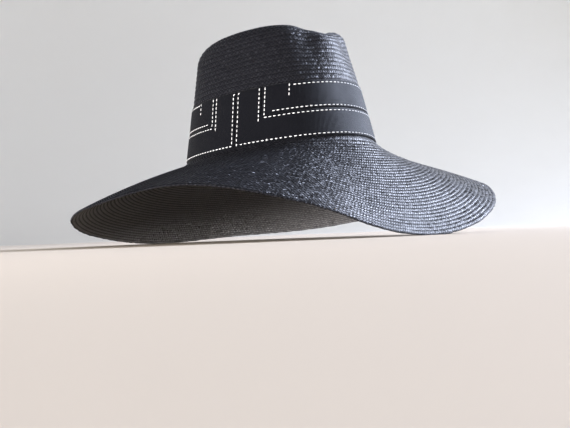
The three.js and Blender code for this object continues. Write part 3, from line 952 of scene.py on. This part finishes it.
class HAT_OT_stitches(bpy.types.Operator):
    """Sews the fret of white running stitches on the ribbons"""
    bl_idname = "sun_hat.stitches"
    bl_label = "Sew the stitches"

    def execute(self, context):
        sizes = context.scene.hat_sizes
        pitch, length = sizes.stitch_pitch * 1000, sizes.stitch_length * 1000
        width = sizes.stitch_width * 1000
        ribbons = RibbonMap()

        def path(line, mirror):
            if line.kind == "round":
                along = even_steps(line.start, ribbons.length - line.end, 1.0)
                height = np.full_like(along, line.low)
            else:
                height = even_steps(line.low, line.high, 0.5)
                along = np.full_like(height, -line.start if mirror else line.start)
                if line.kind == "upright":
                    along += HOOK * np.clip((height - line.high + HOOK) / HOOK, 0, 1) ** 2
            return along, height * UPRIGHT

        routes = [path(line, mirror) for line in STITCH_LINES
                  for mirror in ((False, True) if line.kind == "pair" else (False,))]

        ring = np.radians(360 * np.arange(THREAD_SIDES) / THREAD_SIDES)
        stations, girth, raised = np.array(THREAD_RINGS).T
        chance = np.random.default_rng(STITCH_SEED)
        points, faces, uvs = [], [], []
        for along, height in routes:
            base = ribbons.point(along, height, 0.0)
            travelled = np.concatenate([[0], np.cumsum(np.linalg.norm(np.diff(base, axis=0), axis=-1))])
            count = max(1, round((travelled[-1] + pitch - length) / pitch))
            spacing = (travelled[-1] - length) / max(1, count - 1)
            for number in range(count):
                middle = length / 2 + number * spacing + chance.normal(0, STITCH_WANDER)
                half = length / 2 * (1 + chance.normal(0, STITCH_STRETCH))
                spots = middle + half * stations
                spot_along = np.interp(spots, travelled, along)
                spot_height = np.interp(spots, travelled, height)
                off_start, off_end = np.minimum(spots, 0), np.maximum(spots - travelled[-1], 0)
                proud = np.where(self.on_upper(spot_along, spot_height, ribbons),
                                 UPPER_THICKNESS, LOWER_THICKNESS)
                level = RIBBON_CLEARANCE + proud.mean() + width * raised * 0.5
                line_points = ribbons.point(spot_along, spot_height, level)
                way = line_points[-1] - line_points[0]
                way /= np.linalg.norm(way)
                line_points = line_points + way * (off_start + off_end)[:, None]
                centre = spot_along[THREAD_MIDDLE], spot_height[THREAD_MIDDLE]
                out = ribbons.point(*centre, 1.0) - ribbons.point(*centre, 0.0)
                out -= way * (out @ way)
                out /= np.linalg.norm(out)
                across = np.cross(way, out)
                self.add_faces(sum(len(block) for block in points), faces, uvs)
                for spot, share in zip(line_points, girth):
                    radius = width / 2 * share
                    points.append(spot + radius * (np.cos(ring)[:, None] * across
                                                   + THREAD_FLATNESS * np.sin(ring)[:, None] * out))
        piece = add_piece("stitches", lay_down(np.concatenate(points)), faces, uvs, [white_thread()])
        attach(piece, "root")
        return {"FINISHED"}

    def add_faces(self, first, faces, uvs):
        """The faces of a stitch whose points start at first, and the uv pairs of their corners."""
        strips = len(THREAD_RINGS) - 1
        for strip in range(strips):
            a, b = first + strip * THREAD_SIDES, first + (strip + 1) * THREAD_SIDES
            low, high = THREAD_TURNS * strip / strips, THREAD_TURNS * (strip + 1) / strips
            for side in range(THREAD_SIDES):
                near = (side + 1) % THREAD_SIDES
                faces.append([a + side, a + near, b + near, b + side])
                left, right = side / THREAD_SIDES, (side + 1) / THREAD_SIDES
                uvs += [(low, left), (low, right), (high, right), (high, left)]
        for cap, way in ((first, -1), (first + strips * THREAD_SIDES, 1)):
            faces.append([cap + side for side in range(THREAD_SIDES)][::way])
            uvs += [(0.0, 0.0)] * THREAD_SIDES

    def on_upper(self, along, height, ribbons):
        """Whether a place is on the upper ribbon."""
        return (ribbons.away(along) > RIBBON_WIDTH) & (height > RIBBON_WIDTH)


# The stage

# Each lamp's place and the place that it faces are distances right of, behind and above the hat, seen
# from the camera. Then come its size, its power in watts, how wide its beam is in degrees, its colour,
# and whether the straw's gloss shows it.
Lamp = namedtuple("Lamp", "name place aim wide tall power beam colour in_gloss")
LAMPS = [
    Lamp("Window", (2.75, 1.1, 1.45), (0, 0, 0.1), 1.7, 2.0, 315, 180,
         (0.745, 0.815, 1.0), True),
    Lamp("Wall light", (0.5, 1.0, 2.4), (0.6, 3.4, 0.7), 2.6, 0.9, 5, 180,
         (1.0, 0.97, 0.95), False),
    Lamp("Front fill", (-0.2, -1.9, 0.8), (0, 0, 0.1), 1.4, 1.2, 7, 180,
         (1.0, 0.97, 0.94), False),
    Lamp("Low fill", (-0.9, -1.1, 0.07), (-0.04, 0, 0.06), 1.0, 0.1, 11, 70,
         (1.0, 0.97, 0.94), False),
]

# The painted shade on the wall's left, away from the window, how far left and right of the middle
# it starts and ends, and how far from the middle the floor's colour turns into the wall's
DIM_WALL = (0.87, 0.85, 0.82, 1)
DIM_SIDE, BRIGHT_SIDE = -1.2, 1.2
FLOOR_END, WALL_START = 1.4, 2.6

# The camera's side of the hat, distance, sideways lean and focal length in pixels of the photo's frame,
# and where the middle of the hat's headline stands in that frame
VIEW_AZIMUTH = -43.77
VIEW_DISTANCE = 1.1
VIEW_LEAN = 2.18
PHOTO_WIDTH, PHOTO_HEIGHT, PHOTO_FOCAL = 570, 428, 1101.3
HAT_IN_PHOTO = (280.0, 154.7)


def view_directions():
    """Level directions of the picture: towards the camera, and to the right."""
    turn = math.radians(VIEW_AZIMUTH)
    return Vector((math.sin(turn), -math.cos(turn), 0)), Vector((math.cos(turn), math.sin(turn), 0))


class HAT_OT_stage(bpy.types.Operator):
    """Sets the pale floor, the soft lights and the camera"""
    bl_idname = "sun_hat.stage"
    bl_label = "Set the stage"

    def execute(self, context):
        self.add_cove(context)
        self.add_lamps(context)
        self.add_camera(context)
        self.add_room(context)
        context.scene.view_settings.view_transform = "Standard"
        return {"FINISHED"}

    def add_cove(self, context):
        """A round floor that curves up into a pale wall, so no edge shows from any side."""
        floor, bend, top = 2.8, 1.6, 3.4
        flat = [(radius, 0.0) for radius in np.linspace(0.02, floor, 12)]
        wall = [(floor + bend * math.sin(turn), bend * (1 - math.cos(turn)))
                for turn in np.radians(np.linspace(0, 90, 13))]
        wall.append((floor + bend, top))
        material = self.pale_material(context)
        for name, profile in (("floor", flat), ("wall", wall)):
            piece = self.turned_piece(name, profile, material)
            # the straw's gloss shows the room beyond, not the wall close behind it
            piece.visible_glossy = name == "floor"

    def turned_piece(self, name, profile, material):
        columns = 96
        turns = np.radians(360 * np.arange(columns) / columns)
        points = np.concatenate([
            np.stack([radius * np.cos(turns), radius * np.sin(turns), np.full(columns, height)], -1)
            for radius, height in profile])
        faces = [list(range(columns))] if profile[0][0] < 0.1 else []
        for ring in range(len(profile) - 1):
            for column in range(columns):
                near = (column + 1) % columns
                a, b = ring * columns, (ring + 1) * columns
                faces.append([b + column, b + near, a + near, a + column])
        corners = sum(len(face) for face in faces)
        return add_piece(name, points, faces, np.zeros((corners, 2)), [material])

    def pale_material(self, context):
        """Pale and warm on the floor, paler up the wall, with painted shade that darkens the wall away
        from the window.
        """
        material, nodes, shader = new_material("Pale floor and wall")
        colours = context.scene.hat_colours
        floor_colour, wall_colour = tuple(colours.floor), tuple(colours.wall)
        dim_wall = tuple(part * share for part, share in zip(wall_colour, DIM_WALL))
        place = nodes.add("ShaderNodeTexCoord").outputs["Object"]
        level = nodes.add("ShaderNodeVectorMath", {0: place, 1: (1, 1, 0)}, operation="MULTIPLY")
        away = nodes.add("ShaderNodeVectorMath", {0: level.outputs[0]}, operation="LENGTH")
        right = view_directions()[1]
        aside = nodes.add("ShaderNodeVectorMath", {0: place, 1: tuple(right)}, operation="DOT_PRODUCT")
        # painted light: the wall is painted darker on its left and paler on the window's side
        lit = nodes.spread(aside.outputs["Value"], DIM_SIDE, BRIGHT_SIDE)
        wall = nodes.blend_colours(lit, dim_wall, wall_colour)
        far = nodes.spread(away.outputs["Value"], FLOOR_END, WALL_START)
        tint = nodes.blend_colours(far, floor_colour, wall)
        patches = nodes.spread(nodes.uneven(1.5, 9.0), 0.3, 0.7, 0.0, 0.04)
        tint = nodes.blend_colours(patches, tint, floor_colour)
        nodes.fill(shader, {"Base Color": tint, "Roughness": 0.8, "Specular IOR Level": 0.2})
        return material

    def add_room(self, context):
        """Soft light from all round, stronger on the window's side and dim overhead."""
        world = bpy.data.worlds.new("Pale room")
        world.use_nodes = True
        nodes = NodeSketch(world.node_tree)
        sky = world.node_tree.nodes["Background"]
        way = nodes.add("ShaderNodeTexCoord").outputs["Generated"]
        back, right = view_directions()
        window = (right * 0.8 - back * 0.6).normalized()
        facing = nodes.add("ShaderNodeVectorMath", {0: way, 1: tuple(window)}, operation="DOT_PRODUCT")
        height = nodes.add("ShaderNodeSeparateXYZ", {0: way}).outputs[2]
        near = nodes.spread(facing.outputs["Value"], 0.0, 0.95, 0.16, 1.15)
        low = nodes.spread(height, 0.25, 0.85, 1.0, 0.45)
        nodes.fill(sky, {"Color": (0.93, 0.94, 1.0, 1), "Strength": nodes.times(near, low)})
        context.scene.world = world

    def add_lamps(self, context):
        back, right = view_directions()
        for lamp in LAMPS:
            data = bpy.data.lights.new(lamp.name, "AREA")
            data.shape, data.size, data.size_y = "RECTANGLE", lamp.wide, lamp.tall
            data.energy, data.spread, data.color = lamp.power, math.radians(lamp.beam), lamp.colour
            item = bpy.data.objects.new(lamp.name, data)
            context.scene.collection.objects.link(item)
            place, aim = (right * aside - back * away + Vector((0, 0, up))
                          for aside, away, up in (lamp.place, lamp.aim))
            item.location = place
            item.visible_glossy = lamp.in_gloss
            item.rotation_euler = (aim - place).to_track_quat("-Z", "Y").to_euler()

    def add_camera(self, context):
        back, right = view_directions()
        centre = Vector(lay_down([[0, 0, 0]])[0])
        place = centre + back * VIEW_DISTANCE
        place.z = context.scene.hat_sizes.camera_height
        lean = math.radians(VIEW_LEAN)
        level_up = Vector((0, 0, 1)) * math.cos(lean) + right * math.sin(lean)
        # where the hat's centre stands in the picture, seen from the camera
        seen = Vector(((HAT_IN_PHOTO[0] - PHOTO_WIDTH / 2) / PHOTO_FOCAL,
                       (PHOTO_HEIGHT / 2 - HAT_IN_PHOTO[1]) / PHOTO_FOCAL, -1)).normalized()
        ahead = (centre - place).normalized()
        side = ahead.cross(level_up).normalized()
        up = side.cross(ahead)
        look = Matrix((side, up, -ahead)).transposed()
        turn = look @ seen.rotation_difference(Vector((0, 0, -1))).to_matrix()
        data = bpy.data.cameras.new("Camera")
        data.sensor_width = 36
        data.lens = 36 * PHOTO_FOCAL / PHOTO_WIDTH
        data.clip_start, data.clip_end = 0.01, 50
        camera = bpy.data.objects.new("Camera", data)
        camera.matrix_world = Matrix.Translation(place) @ turn.to_4x4()
        context.scene.collection.objects.link(camera)
        context.scene.camera = camera


class HAT_PT_panel(bpy.types.Panel):
    """The sizes, colours and steps of the sun hat"""
    bl_idname = "HAT_PT_panel"
    bl_label = "Sun hat"
    bl_space_type = "VIEW_3D"
    bl_region_type = "UI"
    bl_category = "Sun hat"

    def draw(self, context):
        for group in (context.scene.hat_sizes, context.scene.hat_colours):
            box = self.layout.box()
            for name in group.__annotations__:
                box.prop(group, name)
        for step in STEPS:
            self.layout.operator(step.bl_idname)


STEPS = (HAT_OT_brim, HAT_OT_crown, HAT_OT_ribbons, HAT_OT_stitches, HAT_OT_stage)
CLASSES = (HatSizes, HatColours, *STEPS, HAT_PT_panel)


def register():
    for item in CLASSES:
        bpy.utils.register_class(item)
    bpy.types.Scene.hat_sizes = PointerProperty(type=HatSizes)
    bpy.types.Scene.hat_colours = PointerProperty(type=HatColours)


def unregister():
    del bpy.types.Scene.hat_sizes
    del bpy.types.Scene.hat_colours
    for item in reversed(CLASSES):
        bpy.utils.unregister_class(item)


def main():
    register()
    bpy.ops.sun_hat.brim()
    bpy.ops.sun_hat.crown()
    bpy.ops.sun_hat.ribbons()
    bpy.ops.sun_hat.stitches()
    bpy.ops.sun_hat.stage()


if __name__ == "__main__":
    main()
